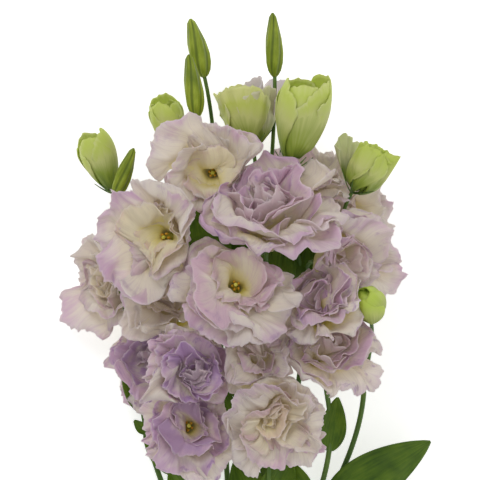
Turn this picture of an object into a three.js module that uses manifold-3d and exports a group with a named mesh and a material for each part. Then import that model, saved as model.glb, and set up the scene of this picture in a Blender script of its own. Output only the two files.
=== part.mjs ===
// A cut bunch of double lisianthus, lying on a table: eleven branching stems held by one band, with
// sixteen ruffled blooms, six pale opening buds and four slim green buds.
// Millimetres. The stems run along Y, blooms towards +Y, and Z is up from the table.
// The bunch is laid out about a point in the middle of its head, and moved at the end so that the
// origin is the middle of its outline on the table.
import * as THREE from "three";
import { mergeVertices } from "three/addons/utils/BufferGeometryUtils.js";
import Module from "manifold-3d";

const wasm = await Module();
wasm.setup();

// Driving dimensions.
const BLOOM_RADIUS = 41; // a fully open bloom of size 1
const PETAL_THICKNESS = 1.0;
const LEAF_THICKNESS = 0.9;
const STEM_RADIUS = 2.1;
const BRANCH_RADIUS = 1.35;
const GAP = 0.35; // between pieces that touch
const BAND_Y = -318; // where the band holds the stems
const CUT_Y = -392; // where the stems are cut
const BAND_THICKNESS = 1.5;
const BAND_TURN = 2.6; // width of one turn of the band
const BAND_TURNS = 3;
const BAND_GRIP = 7; // the stems run straight this far to each side of the band's middle
const TABLE = 0;
const SOFT_FLOOR = -9.0; // petals pressed towards this level meet the table and are flattened at it
const KNEE = 0.82; // petals are free up to this share of the way to a wall
const FULL = 0.95; // and reach no further than this
const NEIGHBOUR = 1.4; // flowers nearer than this many times their radii press on each other
const BUD_ROOM = 10; // what a pale bud's room is wider than the bud
const LEAST_ROOM = 5; // from a flower's middle to a wall
const THROAT = 3.2; // clear radius round the pistil
const BASE_DEPTH = 16; // from a bloom's middle back to its base, at size 1
const CORE_RADIUS = 8.2;
const CORE_HEIGHT = 6.4;
const CALYX_PEAK = 1.2; // of the calyx, inside the corolla's base, at size 1
const BUD_LENGTH = 44; // a pale bud of size 1
const BUD_CORE = [8, 12]; // radius and height

// Slots of the stems where the band holds them: rows of four, three and four.
const ROW_STEP = 4.15;
const SLOT_STEP = 4.8;
const LOW_ROW = STEM_RADIUS + GAP + BAND_THICKNESS;

// Each whorl of a double bloom, from the outside in. lean is the petal's angle from the bloom's axis in
// degrees, at its base, at one third, at two thirds and at its tip. rows and columns are its facets.
const BLOOM_WHORLS = [
  {
    count: 5, length: 50, half: 39, lean: [38, 40, 64, 92], wrap: 0.5, pad: 6,
    ruffle: 2.0, root: 4.0, rise: 1.8, turn: 0.0, rows: 2, columns: 2,
  },
  {
    count: 3, length: 45, half: 48, lean: [28, 30, 52, 80], wrap: 0.8, pad: 6,
    ruffle: 1.4, root: 3.0, rise: 3.0, turn: 0.6, rows: 2, columns: 2,
  },
  {
    count: 2, length: 40, half: 50, lean: [18, 20, 40, 64], wrap: 1.0, pad: 6,
    ruffle: 1.0, root: 1.6, rise: 3.8, turn: 0.3, rows: 2, columns: 2,
  },
];
// A pale bud: petals still rolled round each other, the buds that have begun to open, and a round bud
// whose petals close over its tip.
const BUD_WHORLS = [
  {
    count: 4, length: 44, half: 30, lean: [27, 22, 5, -14], wrap: 1, pad: 0,
    ruffle: 0.5, root: 2.6, rise: 0, turn: 0, rows: 3, columns: 2,
  },
];
const OPENING_WHORLS = [
  {
    count: 4, length: 44, half: 36, lean: [62, 24, 4, 14], wrap: 0.9, pad: 1,
    ruffle: 1.8, root: 2.8, rise: 0, turn: 0, rows: 3, columns: 2,
  },
  {
    count: 2, length: 38, half: 40, lean: [50, 14, -4, -10], wrap: 0.9, pad: 1,
    ruffle: 1.0, root: 2.2, rise: 1, turn: 0.5, rows: 3, columns: 2,
  },
];
const ROUND_WHORLS = [
  {
    count: 4, length: 50, half: 36, lean: [76, 36, -18, -84], wrap: 1, pad: 0,
    ruffle: 0.5, root: 2.6, rise: 0, turn: 0, rows: 3, columns: 2,
  },
];

// Blooms: middle, radius, the way it faces, how far it is open, and the seed of its small differences.
const BLOOMS = {
  top: { middle: [-19, 47, 98], radius: 40, faces: [0, -0.06, 1], open: 0.95, seed: 1 },
  crown: { middle: [19, 11, 106], radius: 52, faces: [0.02, 0.78, 0.62], open: 1.05, seed: 2 },
  west: { middle: [-52, 2, 106], radius: 38, faces: [-0.42, -0.05, 0.9], open: 0.84, seed: 3 },
  far_west: { middle: [-84, -30, 24], radius: 44, faces: [-0.8, 0.05, 0.56], open: 0.85, seed: 4 },
  heart: { middle: [-3, -31, 118], radius: 47, faces: [0.05, 0.3, 0.95], open: 1.1, seed: 5 },
  under_west: { middle: [-51, -46, 66], radius: 38, faces: [-0.05, 0.6, 0.8], open: 1.1, seed: 6 },
  plum_back: { middle: [-57, -82, 32], radius: 39, faces: [-0.45, 0, 0.86], open: 1.1, seed: 7 },
  plum: { middle: [-34, -89, 96], radius: 37, faces: [0.1, -0.1, 0.98], open: 0.88, seed: 8 },
  foot_west: { middle: [-36, -130, 86], radius: 38, faces: [0.1, 0.1, 0.97], open: 0.95, seed: 9 },
  foot_cream: { middle: [25, -124, 102], radius: 39, faces: [0.05, -0.15, 0.98], open: 1.0, seed: 10 },
  east_foot: { middle: [60, -78, 86], radius: 39, faces: [0.06, 0.55, 0.83], open: 1.0, seed: 11 },
  inner: { middle: [11, -80, 96], radius: 36, faces: [0, 0.2, 0.98], open: 0.95, seed: 12 },
  east: { middle: [52, -45, 98], radius: 36, faces: [0, 0.5, 0.84], open: 0.95, seed: 13 },
  far_east: { middle: [65, -15, 76], radius: 40, faces: [0.65, 0, 0.76], open: 0.85, seed: 14 },
  back_east: { middle: [68, 24, 28], radius: 42, faces: [0.6, 0.35, 0.5], open: 1.0, seed: 15 },
  back_north: { middle: [48, 35, 62], radius: 35, faces: [0.1, 0.8, 0.5], open: 1.0, seed: 16 },
};

// Pale buds: base, tip and widest radius.
const PALE_BUDS = {
  bud_left: { base: [-89, 34, 66], tip: [-106, 74, 70], radius: 12, whorls: BUD_WHORLS, seed: 21 },
  bud_inner_left: { base: [-45, 60, 58], tip: [-54, 98, 62], radius: 11.5, whorls: BUD_WHORLS, seed: 22 },
  bud_white: { base: [9, 66, 56], tip: [1, 115, 64], radius: 21, whorls: OPENING_WHORLS, seed: 23 },
  bud_tall: { base: [36, 50, 88], tip: [48, 117, 92], radius: 17, whorls: BUD_WHORLS, seed: 24 },
  bud_right: { base: [79, 34, 74], tip: [100, 67, 82], radius: 18, whorls: OPENING_WHORLS, seed: 25 },
  bud_round: { base: [90, -52, 84], tip: [84, -38, 107], radius: 12, whorls: ROUND_WHORLS, seed: 26 },
};

// Slim green buds: base, tip and widest radius.
const SLIM_BUDS = {
  slim_high_left: { base: [-25, 115, 54], tip: [-35, 156, 58], radius: 7.2 },
  slim_low_left: { base: [-30, 86, 74], tip: [-36, 130, 78], radius: 6.6 },
  slim_high_right: { base: [24.5, 115, 60], tip: [23, 160, 62], radius: 6.2 },
  slim_far_left: { base: [-87, 30, 88], tip: [-74, 64, 94], radius: 5.6 },
};

// Stems: slot at the band (column, row), the fork where the branches part, and what each branch carries.
const STEMS = {
  stem_far_left: { slot: [-1.5, -1], fork: [-70, -112, 20], carries: ["far_west", "bud_left", "slim_far_left"] },
  stem_left: { slot: [-1, 0], fork: [-48, -128, 24], carries: ["under_west", "plum_back"] },
  stem_left_front: { slot: [-1.5, 1], fork: [-26, -172, 40], carries: ["foot_west", "plum"] },
  stem_mid_left: { slot: [-0.5, 1], fork: [-24, -100, 34], carries: ["west", "bud_inner_left"] },
  stem_mid: { slot: [-0.5, -1], fork: [-14, -50, 26], carries: ["top", "slim_high_left", "slim_low_left"] },
  stem_heart: { slot: [0, 0], fork: [0, -112, 36], carries: ["heart", "inner"] },
  stem_mid_right: { slot: [0.5, -1], fork: [16, -60, 26], carries: ["crown", "bud_white", "slim_high_right"] },
  stem_cream: { slot: [0.5, 1], fork: [20, -180, 44], carries: ["foot_cream"] },
  stem_back: { slot: [1, 0], fork: [46, -52, 26], carries: ["back_east", "back_north", "bud_tall"] },
  stem_right: { slot: [1.5, 1], fork: [64, -140, 44], carries: ["east_foot", "east"] },
  stem_far_right: { slot: [1.5, -1], fork: [88, -108, 34], carries: ["far_east", "bud_right", "bud_round"] },
};

// Leaves: the stem that it grows on, how far along it, the way and how far it reaches, and half width.
const LEAVES = [
  { stem: "stem_far_right", along: 0.63, to: [74, 44, 8], half: 17, seed: 1 },
  { stem: "stem_right", along: 0.95, to: [6, 38, 4], half: 9, seed: 2 },
  { stem: "stem_cream", along: 0.84, to: [-22, 46, -12], half: 15, seed: 3 },
  { stem: "stem_right", along: 0.7, to: [-36, 44, -8], half: 15, seed: 4 },
  { stem: "stem_left_front", along: 0.8, to: [-26, 40, -10], half: 13, seed: 5 },
  { stem: "stem_left", along: 0.8, to: [-26, 30, -6], half: 9, seed: 6 },
  { stem: "stem_back", along: 1.0, to: [4, 52, 18], half: 15, seed: 7 },
  { stem: "stem_mid", along: 1.0, to: [-19, 84, 38], half: 18, seed: 8 },
  { stem: "stem_heart", along: 1.0, to: [2, 42, 8], half: 12, seed: 9 },
  { stem: "stem_far_left", along: 0.95, to: [-4, 62, 8], half: 13, seed: 10 },
  { stem: "stem_cream", along: 0.95, to: [16, 34, -6], half: 11, seed: 11 },
  { stem: "stem_mid_right", along: 1.0, to: [16, 70, 30], half: 16, seed: 12 },
  { stem: "stem_mid", along: 1.0, to: [14, 76, 26], half: 14, seed: 13 },
];

const vector = (list) => new THREE.Vector3(...list);
const degrees = (value) => (value * Math.PI) / 180;

// A repeatable number from 0 to 1.
function chance(seed, index) {
  const x = Math.sin(seed * 127.1 + index * 311.7) * 43758.5453;
  return x - Math.floor(x);
}

function easeBetween(low, high, x) {
  const t = Math.min(Math.max((x - low) / (high - low), 0), 1);
  return t * t * (3 - 2 * t);
}

// The frame whose Z is the given direction.
function frameAlong(direction) {
  const z = direction.clone().normalize();
  const aside = Math.abs(z.y) < 0.9 ? new THREE.Vector3(0, 1, 0) : new THREE.Vector3(1, 0, 0);
  const x = aside.cross(z).normalize();
  const y = z.clone().cross(x);
  return new THREE.Matrix4().makeBasis(x, y, z);
}

// A closed geometry as a solid to join and cut.
function solidOf(geometry, apart = 1e-4) {
  const plain = geometry.clone();
  plain.deleteAttribute("normal");
  plain.deleteAttribute("uv");
  const merged = mergeVertices(plain, apart);
  return new wasm.Manifold(
    new wasm.Mesh({
      numProp: 3,
      vertProperties: new Float32Array(merged.attributes.position.array),
      triVerts: new Uint32Array(merged.index.array),
    }),
  );
}

const joined = (solids) => solids.reduce((whole, solid) => whole.add(solid));

// The largest piece of a solid: a cut can leave loose scraps.
function largestPiece(solid) {
  return solid.decompose().reduce((best, piece) => (piece.volume() > best.volume() ? piece : best));
}

// A thin closed blade over a surface point(u, v), u from 0 to 1 along it and v from -1 to 1 across.
// Both faces share the outline, and are split into triangles alike.
function blade(point, rows, columns, thickness) {
  const middle = [];
  for (let row = 0; row <= rows; row++)
    for (let column = 0; column <= columns; column++)
      middle.push(point(row / rows, (2 * column) / columns - 1));
  const at = (row, column) => row * (columns + 1) + column;
  const isEdge = (row, column) => row === 0 || row === rows || column === 0 || column === columns;
  const upper = middle.map((p) => p.clone());
  const lower = middle.map((p) => p.clone());
  for (let row = 1; row < rows; row++)
    for (let column = 1; column < columns; column++) {
      const along = middle[at(row + 1, column)].clone().sub(middle[at(row - 1, column)]);
      const across = middle[at(row, column + 1)].clone().sub(middle[at(row, column - 1)]);
      const normal = across.cross(along).normalize().multiplyScalar(thickness / 2);
      upper[at(row, column)].add(normal);
      lower[at(row, column)].sub(normal);
    }
  const points = [...upper, ...lower];
  const low = (row, column) => at(row, column) + (isEdge(row, column) ? 0 : upper.length);
  const index = [];
  for (let row = 0; row < rows; row++)
    for (let column = 0; column < columns; column++) {
      const corners = [[row, column], [row, column + 1], [row + 1, column + 1], [row + 1, column]];
      const [a, b, c, d] = corners.map((corner) => at(...corner));
      const [e, f, g, h] = corners.map((corner) => low(...corner));
      // The diagonal runs so that no corner of the outline is cut off by itself.
      const turned = (row === 0) === (column < columns / 2);
      index.push(...(turned ? [a, b, c, a, c, d] : [a, b, d, b, c, d]));
      index.push(...(turned ? [e, g, f, e, h, g] : [e, h, f, f, h, g]));
    }
  const geometry = new THREE.BufferGeometry().setFromPoints(points);
  geometry.setIndex(index);
  return solidOf(geometry);
}

// The rise of a petal's middle line: distance out from the axis and up it, at a share of its length.
function petalLine(petal) {
  const steps = 24;
  const reach = 1.1;
  const { lean } = petal;
  const leanAt = (share) => {
    const knots = [0, 0.33, 0.66, 1, reach];
    const values = [...lean, lean[3] + (lean[3] - lean[2]) * 0.3];
    for (let i = 1; i < knots.length; i++)
      if (share <= knots[i]) {
        const t = (share - knots[i - 1]) / (knots[i] - knots[i - 1]);
        return degrees(values[i - 1] + t * (values[i] - values[i - 1]));
      }
    return degrees(values[4]);
  };
  const out = [petal.root];
  const up = [petal.rise];
  const step = (reach / steps) * petal.length;
  for (let i = 0; i < steps; i++) {
    const angle = leanAt(((i + 0.5) / steps) * reach);
    out.push(out[i] + Math.sin(angle) * step);
    up.push(up[i] + Math.cos(angle) * step);
  }
  const read = (list, share) => {
    const x = Math.min(Math.max(share / reach, 0), 1) * steps;
    const i = Math.min(Math.floor(x), steps - 1);
    return list[i] + (x - i) * (list[i + 1] - list[i]);
  };
  return (share) => ({ out: read(out, share), up: read(up, share), angle: leanAt(share) });
}

// A point of a petal in its flower's own frame, whose Z is the flower's axis.
function petalSurface(petal) {
  const line = petalLine(petal);
  const { length, phase, waves } = petal;
  return (share, v) => {
    const u = 0.04 + 0.96 * share;
    const side = Math.abs(v);
    const nick = 0.025 * Math.sin(petal.nicks * v + phase * 1.7) * Math.sin(2.3 * petal.nicks * v + phase);
    const rim = 1 - petal.corner * side ** 2.6 + nick;
    const reach = length * u * (1 + (rim - 1) * u ** 1.5);
    const spread = v * degrees(petal.half) * (0.42 + 0.58 * easeBetween(0, 0.6, u));
    const x = reach * Math.sin(spread) + v * petal.claw;
    const y = reach * Math.cos(spread * 0.8);
    const { out, up, angle } = line(y / length);
    const bend = petal.wrap / Math.max(out + petal.pad, 3 + petal.pad);
    const aside = Math.sin(bend * x) / bend;
    const inward = (1 - Math.cos(bend * x)) / bend;
    const grow = u ** 2.2 * (0.35 + 0.65 * side ** 1.2);
    const wave =
      petal.ruffle * grow * Math.sin(waves * v + phase + 1.2 * Math.sin(2.1 * v + phase * 0.7)) +
      petal.ruffle * 0.35 * u ** 4 * Math.sin(waves * 2.3 * v + phase * 2.1) +
      petal.curl * easeBetween(0.55, 1.05, u) ** 2 * (0.6 + 0.4 * Math.sin(1.7 * v + phase * 1.3)) +
      (petal.twist * u * length * 0.12 + petal.swirl * Math.min(1, 1.5 * u)) * v;
    const push = wave - inward;
    const radial = out + Math.cos(angle) * push;
    const height = up - Math.sin(angle) * push;
    // The throat stays clear round the axis.
    const widen = Math.sqrt(1 + THROAT ** 2 / Math.max(radial ** 2 + aside ** 2, 0.01));
    const c = Math.cos(petal.azimuth) * widen;
    const s = Math.sin(petal.azimuth) * widen;
    return new THREE.Vector3(radial * c - aside * s, radial * s + aside * c, height);
  };
}

// Every petal of a flower, each a little different from the next.
function petalsOf(whorls, seed, size, open) {
  const petals = [];
  whorls.forEach((whorl, w) => {
    for (let i = 0; i < whorl.count; i++) {
      const c = [0, 1, 2, 3, 4, 5, 6, 7, 8].map((j) => chance(seed, 10 * (petals.length + 1) + j));
      petals.push({
        ...whorl,
        azimuth: whorl.turn + seed * 1.3 + (2 * Math.PI * (i + 0.4 * (c[0] - 0.5))) / whorl.count,
        length: whorl.length * size * (0.9 + 0.2 * c[1]),
        half: whorl.half * (0.92 + 0.2 * c[2]),
        lean: whorl.lean.map(
          (angle, k) => angle * (k ? open : 1) * (1 + 0.1 * k * (c[3] - 0.5)) + (whorl.pad * (i % 2) * k) / 3,
        ),
        ruffle: whorl.ruffle * size * (0.6 + 0.8 * c[4]),
        waves: 4.2 + 3.0 * c[5],
        phase: 6.28 * c[6],
        corner: 0.22 + 0.1 * c[7],
        nicks: 6.5 + 3 * c[8],
        claw: 0.3 * size,
        curl: (2.5 - w * 0.4) * size * (c[8] * 1.6 - 0.3) * (whorl.pad / 6),
        twist: c[1] * 0.9 * (whorl.pad / 6),
        swirl: 1.8 * size,
        root: whorl.root * size,
        rise: whorl.rise * size,
      });
    }
  });
  return petals;
}

// Each flower has a room of its own, bounded by planes halfway to its neighbours and by the table.
// Petals that come near a plane are pressed back from it, as they are in a tight bunch.
function budMiddle(bud) {
  return vector(bud.base).lerp(vector(bud.tip), 0.5);
}
const CROWD = [
  ...Object.entries(BLOOMS).map(([name, b]) => ({ name, middle: vector(b.middle), radius: b.radius })),
  ...Object.entries(PALE_BUDS).map(([name, bud]) => {
    return { name, middle: budMiddle(bud), radius: bud.radius + BUD_ROOM };
  }),
];

function roomOf(name) {
  const self = CROWD.find((one) => one.name === name);
  const walls = [{ normal: new THREE.Vector3(0, 0, -1), distance: self.middle.z - SOFT_FLOOR }];
  for (const other of CROWD) {
    if (other === self) continue;
    const between = other.middle.clone().sub(self.middle);
    const apart = between.length();
    if (apart > (self.radius + other.radius) * NEIGHBOUR) continue;
    const distance = (apart ** 2 + self.radius ** 2 - other.radius ** 2) / (2 * apart);
    walls.push({ normal: between.divideScalar(apart), distance: Math.max(distance, LEAST_ROOM) });
  }
  return (point) => {
    const ray = point.clone().sub(self.middle);
    const far = ray.length() + 1e-9;
    ray.divideScalar(far);
    let limit = 1e9;
    for (const { normal, distance } of walls)
      limit = Math.min(limit, distance / Math.max(ray.dot(normal), 1e-6));
    const t = far / limit;
    const kept = t < KNEE ? t : KNEE + (FULL - KNEE) * (1 - Math.exp(-(t - KNEE) / (FULL - KNEE)));
    return self.middle.clone().addScaledVector(ray, kept * limit);
  };
}

// Where a flower sits on its stem, and the way it faces.
function seatOf(name) {
  if (BLOOMS[name]) {
    const bloom = BLOOMS[name];
    const faces = vector(bloom.faces).normalize();
    const back = (BASE_DEPTH * bloom.radius) / BLOOM_RADIUS;
    return { faces, base: vector(bloom.middle).addScaledVector(faces, -back) };
  }
  const bud = PALE_BUDS[name] || SLIM_BUDS[name];
  const base = vector(bud.base);
  return { faces: vector(bud.tip).sub(base).normalize(), base };
}

function placed(geometry, seat) {
  const matrix = frameAlong(seat.faces).setPosition(seat.base);
  return geometry.applyMatrix4(matrix);
}

// How large a flower's calyx is, beside that of a bloom of size 1.
const calyxSize = (name) => (BLOOMS[name] ? BLOOMS[name].radius / BLOOM_RADIUS : 0.6);

// The solid heart of a corolla, where the petals' claws join.
function corollaCore(seat, foot, radius, height) {
  const profile = [[0, foot], [radius, foot + (height - foot) * 0.5], [0, height]];
  const lathe = new THREE.LatheGeometry(profile.map((p) => new THREE.Vector2(...p)), 6);
  return solidOf(placed(lathe.rotateX(Math.PI / 2), seat));
}

// core is the radius and height of its heart.
function flower(name, whorls, size, open, seed, core) {
  const seat = seatOf(name);
  const matrix = frameAlong(seat.faces).setPosition(seat.base);
  const keepIn = roomOf(name);
  const petals = petalsOf(whorls, seed, size, open).map((petal) => {
    const surface = petalSurface(petal);
    const point = (u, v) => keepIn(surface(u, v).applyMatrix4(matrix));
    return blade(point, petal.rows, petal.columns, PETAL_THICKNESS);
  });
  return joined([corollaCore(seat, CALYX_PEAK * calyxSize(name) + GAP, ...core), ...petals]);
}

// A round stalk through a row of points, narrowing evenly from one radius to the other.
function stalk(path, from, to, sides) {
  const points = [];
  const index = [];
  let aside = new THREE.Vector3(1, 0, 0);
  path.forEach((centre, i) => {
    const tangent = path[Math.min(i + 1, path.length - 1)].clone().sub(path[Math.max(i - 1, 0)]).normalize();
    const across = tangent.clone().cross(aside).normalize();
    aside = across.clone().cross(tangent);
    const radius = from + ((to - from) * i) / (path.length - 1);
    for (let k = 0; k < sides; k++) {
      const angle = (2 * Math.PI * k) / sides;
      const out = aside.clone().multiplyScalar(Math.cos(angle)).addScaledVector(across, -Math.sin(angle));
      points.push(centre.clone().addScaledVector(out, radius));
    }
  });
  const last = (path.length - 1) * sides;
  for (let k = 0; k < sides; k++) {
    const next = (k + 1) % sides;
    for (let ring = 0; ring < last; ring += sides)
      index.push(ring + k, ring + sides + next, ring + next, ring + k, ring + sides + k, ring + sides + next);
    if (k > 0 && k < sides - 1) index.push(0, k, k + 1, last, last + k + 1, last + k);
  }
  const geometry = new THREE.BufferGeometry().setFromPoints(points);
  geometry.setIndex(index);
  return solidOf(geometry);
}

// The path of a stem, from its cut end straight through the band to the fork, and one for each branch.
function stemPaths(name) {
  const stem = STEMS[name];
  const tied = new THREE.Vector3(stem.slot[0] * SLOT_STEP, BAND_Y, LOW_ROW + (stem.slot[1] + 1) * ROW_STEP);
  const below = tied.clone().setY(BAND_Y - BAND_GRIP);
  const above = tied.clone().setY(BAND_Y + BAND_GRIP);
  const longer = 6 * chance(stem.slot[0] * 7 + 3, stem.slot[1] + 2);
  const cut = new THREE.Vector3(tied.x * 1.5, CUT_Y + longer, tied.z);
  const fork = vector(stem.fork);
  const run = fork.clone().sub(above);
  const leaving = above.clone().add(new THREE.Vector3(run.x * 0.03, run.y * 0.3, run.z * 0.03));
  const arriving = fork.clone().sub(new THREE.Vector3(run.x * 0.06, run.y * 0.36, run.z * 0.15));
  const lower = new THREE.QuadraticBezierCurve3(cut, below.clone().setY(BAND_Y - 40), below);
  const upper = new THREE.CubicBezierCurve3(above, leaving, arriving, fork);
  const onward = fork.clone().sub(arriving).normalize();
  const branches = stem.carries.map((carried) => {
    const seat = seatOf(carried);
    const apart = seat.base.distanceTo(fork);
    const start = fork.clone().addScaledVector(onward, -1);
    const away = start.clone().addScaledVector(onward, apart * 0.35);
    const toward = seat.base.clone().addScaledVector(seat.faces, -Math.min(apart * 0.4, 40));
    const foot = seat.base.clone().addScaledVector(seat.faces, SLIM_BUDS[carried] ? 2 : -2);
    return new THREE.CubicBezierCurve3(start, away, toward, foot);
  });
  return { lower, upper, branches };
}

// A closed ring of five points round an axis: a calyx with its sepals, or stamens round a pistil.
// It runs from a foot through a waist to its points, with a peak in the middle.
function star(seat, shape, grown = 0) {
  const { foot, waist, tip, peak } = shape;
  const points = [new THREE.Vector3(0, 0, foot[1] - grown), new THREE.Vector3(0, 0, peak + grown)];
  const ring = (radius, height, turn) => {
    for (let i = 0; i < 5; i++) {
      const angle = (2 * Math.PI * (i + turn)) / 5;
      points.push(new THREE.Vector3(radius * Math.cos(angle), radius * Math.sin(angle), height));
    }
  };
  ring(foot[0] + grown, foot[1] - grown, 0);
  ring(waist[0] + grown, waist[1] - grown, 0);
  const reach = (3 * grown) / Math.hypot(tip[0], tip[1] - peak);
  ring(tip[0] * (1 + reach), tip[1] + (tip[1] - peak) * reach, 0.5);
  const index = [];
  for (let i = 0; i < 5; i++) {
    const next = (i + 1) % 5;
    index.push(0, 2 + next, 2 + i, 2 + i, 2 + next, 7 + next, 2 + i, 7 + next, 7 + i);
    index.push(7 + i, 7 + next, 12 + i, 7 + i, 12 + i, 1, 7 + next, 1, 12 + i);
  }
  const geometry = new THREE.BufferGeometry().setFromPoints(points);
  geometry.setIndex(index);
  return solidOf(placed(geometry, seat));
}

// The green cup under a flower, with five narrow sepals.
function calyx(name, grown) {
  const bloom = BLOOMS[name];
  const size = calyxSize(name);
  const tip = bloom ? [13 * size, 4 * size] : [PALE_BUDS[name].radius * 0.7 + 2.4, 10];
  const shape = { foot: [1.4 * size, -3], waist: [2.8 * size, -0.4], tip, peak: CALYX_PEAK * size };
  return star(seatOf(name), shape, grown);
}

// A slim green bud: five ribs that twist a little, narrowing to a blunt tip.
function slimBud(name, grown) {
  const bud = SLIM_BUDS[name];
  const seat = seatOf(name);
  const tall = vector(bud.tip).distanceTo(vector(bud.base));
  const sides = 10;
  const outline = [[0, 0.3], [0.12, 0.7], [0.32, 1.0], [0.7, 0.7], [1, 0.24]];
  const points = [];
  for (const [share, wide] of outline)
    for (let i = 0; i < sides; i++) {
      const angle = (2 * Math.PI * i) / sides + share * 0.9;
      const radius = bud.radius * wide * (i % 2 ? 0.9 : 1.06) + grown;
      points.push(new THREE.Vector3(radius * Math.cos(angle), radius * Math.sin(angle), share * tall));
    }
  const bottom = points.length;
  points.push(new THREE.Vector3(0, 0, -grown), new THREE.Vector3(0, 0, tall + grown));
  const index = [];
  for (let i = 0; i < sides; i++) {
    const next = (i + 1) % sides;
    index.push(bottom, next, i);
    const last = (outline.length - 1) * sides;
    index.push(bottom + 1, last + i, last + next);
    for (let ring = 0; ring < last; ring += sides)
      index.push(ring + i, ring + next, ring + sides + next, ring + i, ring + sides + next, ring + sides + i);
  }
  const geometry = new THREE.BufferGeometry().setFromPoints(points);
  geometry.setIndex(index);
  return solidOf(placed(geometry, seat));
}

// A leaf: an oval blade with a folded midrib and waved edges, rooted in its stem.
function leaf(spec, curve, grown) {
  const root = curve.getPoint(spec.along);
  const to = vector(spec.to);
  const across = to.clone().cross(new THREE.Vector3(0, 0, 1)).normalize();
  const upward = across.clone().cross(to).normalize();
  const point = (u, v) => {
    const wide = spec.half * Math.sin(Math.PI * Math.min(0.06 + 0.94 * u ** 0.85, 1)) ** 0.8 + 0.5;
    const lift = 0.09 * to.length() * Math.sin(Math.PI * u) + 0.2 * wide * v * v;
    const wave = 0.1 * spec.half * Math.sin(7 * u + 3 * v + spec.seed) * Math.abs(v);
    const middle = root.clone().addScaledVector(to, u);
    return middle.addScaledVector(across, wide * v).addScaledVector(upward, lift + wave);
  };
  return blade(point, 3, 2, LEAF_THICKNESS + 2 * grown);
}

// A whole stem: main stalk, branches, calyces, slim buds and leaves. grown thickens it all over.
function stemSolid(name, grown) {
  const { lower, upper, branches } = stemPaths(name);
  const main = [...lower.getPoints(2), ...upper.getPoints(7)];
  const parts = [
    stalk(main, STEM_RADIUS + grown, STEM_RADIUS * 0.9 + grown, 5),
    solidOf(new THREE.IcosahedronGeometry(STEM_RADIUS * 1.2 + grown).translate(...STEMS[name].fork)),
  ];
  STEMS[name].carries.forEach((carried, i) => {
    parts.push(stalk(branches[i].getPoints(4), BRANCH_RADIUS + 0.2 + grown, BRANCH_RADIUS + grown, 4));
    parts.push(SLIM_BUDS[carried] ? slimBud(carried, grown) : calyx(carried, grown));
  });
  for (const spec of LEAVES.filter((one) => one.stem === name)) parts.push(leaf(spec, upper, grown));
  return joined(parts);
}

// The pistil and stamens of a bloom, in one cluster on the core. grown thickens it all over.
function bloomHeart(name, grown) {
  const foot = (BLOOMS[name].radius / BLOOM_RADIUS) * CORE_HEIGHT + GAP;
  const shape = { foot: [2.0, foot], waist: [2.0, foot + 3], tip: [2.4, foot + 9], peak: foot + 12 };
  return star(seatOf(name), shape, grown);
}

// The band: turns of a rubber strip round the stems, as one closed ring with a groove between turns.
function bandSolid() {
  const wide = 1.5 * SLOT_STEP;
  const inner = STEM_RADIUS + GAP;
  const width = BAND_TURN * BAND_TURNS;
  const section = [[0, 0], [0, width]];
  for (let i = BAND_TURNS; i > 0; i--) {
    section.push([BAND_THICKNESS, i * BAND_TURN], [BAND_THICKNESS, (i - 1) * BAND_TURN + 0.5]);
    if (i > 1) section.push([BAND_THICKNESS * 0.6, (i - 1) * BAND_TURN + 0.25]);
  }
  const points = [];
  const corners = 4;
  for (const [side, level, from] of [[1, 1, 0], [-1, 1, 1], [-1, -1, 2], [1, -1, 3]])
    for (let i = 0; i < corners; i++) {
      const angle = ((from + i / (corners - 1)) * Math.PI) / 2;
      for (const [thick, along] of section)
        points.push(
          new THREE.Vector3(
            side * wide + (inner + thick) * Math.cos(angle),
            BAND_Y - width / 2 + along,
            LOW_ROW + ROW_STEP * (1 + level) + (inner + thick) * Math.sin(angle),
          ),
        );
    }
  const count = section.length;
  const rings = points.length / count;
  const index = [];
  for (let ring = 0; ring < rings; ring++)
    for (let i = 0; i < count; i++) {
      const [a, b] = [ring * count, ((ring + 1) % rings) * count];
      const next = (i + 1) % count;
      index.push(a + i, b + i, b + next, a + i, b + next, a + next);
    }
  const geometry = new THREE.BufferGeometry().setFromPoints(points);
  geometry.setIndex(index);
  return solidOf(geometry);
}

// What lies below the table, to flatten the petals that rest on it.
const underTable = solidOf(new THREE.BoxGeometry(2000, 2000, 100).translate(0, 0, TABLE - 50));

const COLOURS = { stem: 0x4f7a32, petal: 0xd9cdd8, bud: 0xbccb84, heart: 0xb5a63c, band: 0xb58a54 };
const pieces = [];
const keep = (name, solid, colour) => pieces.push({ name, solid, colour });

const stemNames = Object.keys(STEMS);
const stemRooms = stemNames.map((name) => stemSolid(name, GAP));
stemNames.forEach((name, i) => {
  const cleared = stemRooms.slice(0, i).reduce((left, room) => left.subtract(room), stemSolid(name, 0));
  keep(name, largestPiece(cleared), COLOURS.stem);
});
const allStems = joined(stemRooms);

for (const [name, bud] of Object.entries(PALE_BUDS)) {
  const tall = vector(bud.tip).distanceTo(vector(bud.base));
  const size = tall / BUD_LENGTH;
  const whole = flower(name, bud.whorls, size, 1, bud.seed, [BUD_CORE[0] * size, BUD_CORE[1] * size]);
  keep(name, largestPiece(whole.subtract(allStems)), COLOURS.bud);
}
for (const [name, bloom] of Object.entries(BLOOMS)) {
  const size = bloom.radius / BLOOM_RADIUS;
  const core = [CORE_RADIUS * size, CORE_HEIGHT * size];
  const whole = flower(name, BLOOM_WHORLS, size, bloom.open, bloom.seed, core);
  const cleared = whole.subtract(allStems).subtract(bloomHeart(name, GAP)).subtract(underTable);
  keep(name, largestPiece(cleared), COLOURS.petal);
  keep(name + "_heart", bloomHeart(name, 0), COLOURS.heart);
}
keep("band", bandSolid(), COLOURS.band);

// The origin is the middle of the outline, on the table.
const outline = new THREE.Box3();
for (const { solid } of pieces) {
  const { min, max } = solid.boundingBox();
  outline.expandByPoint(vector(min)).expandByPoint(vector(max));
}
const centre = outline.getCenter(new THREE.Vector3());

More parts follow.
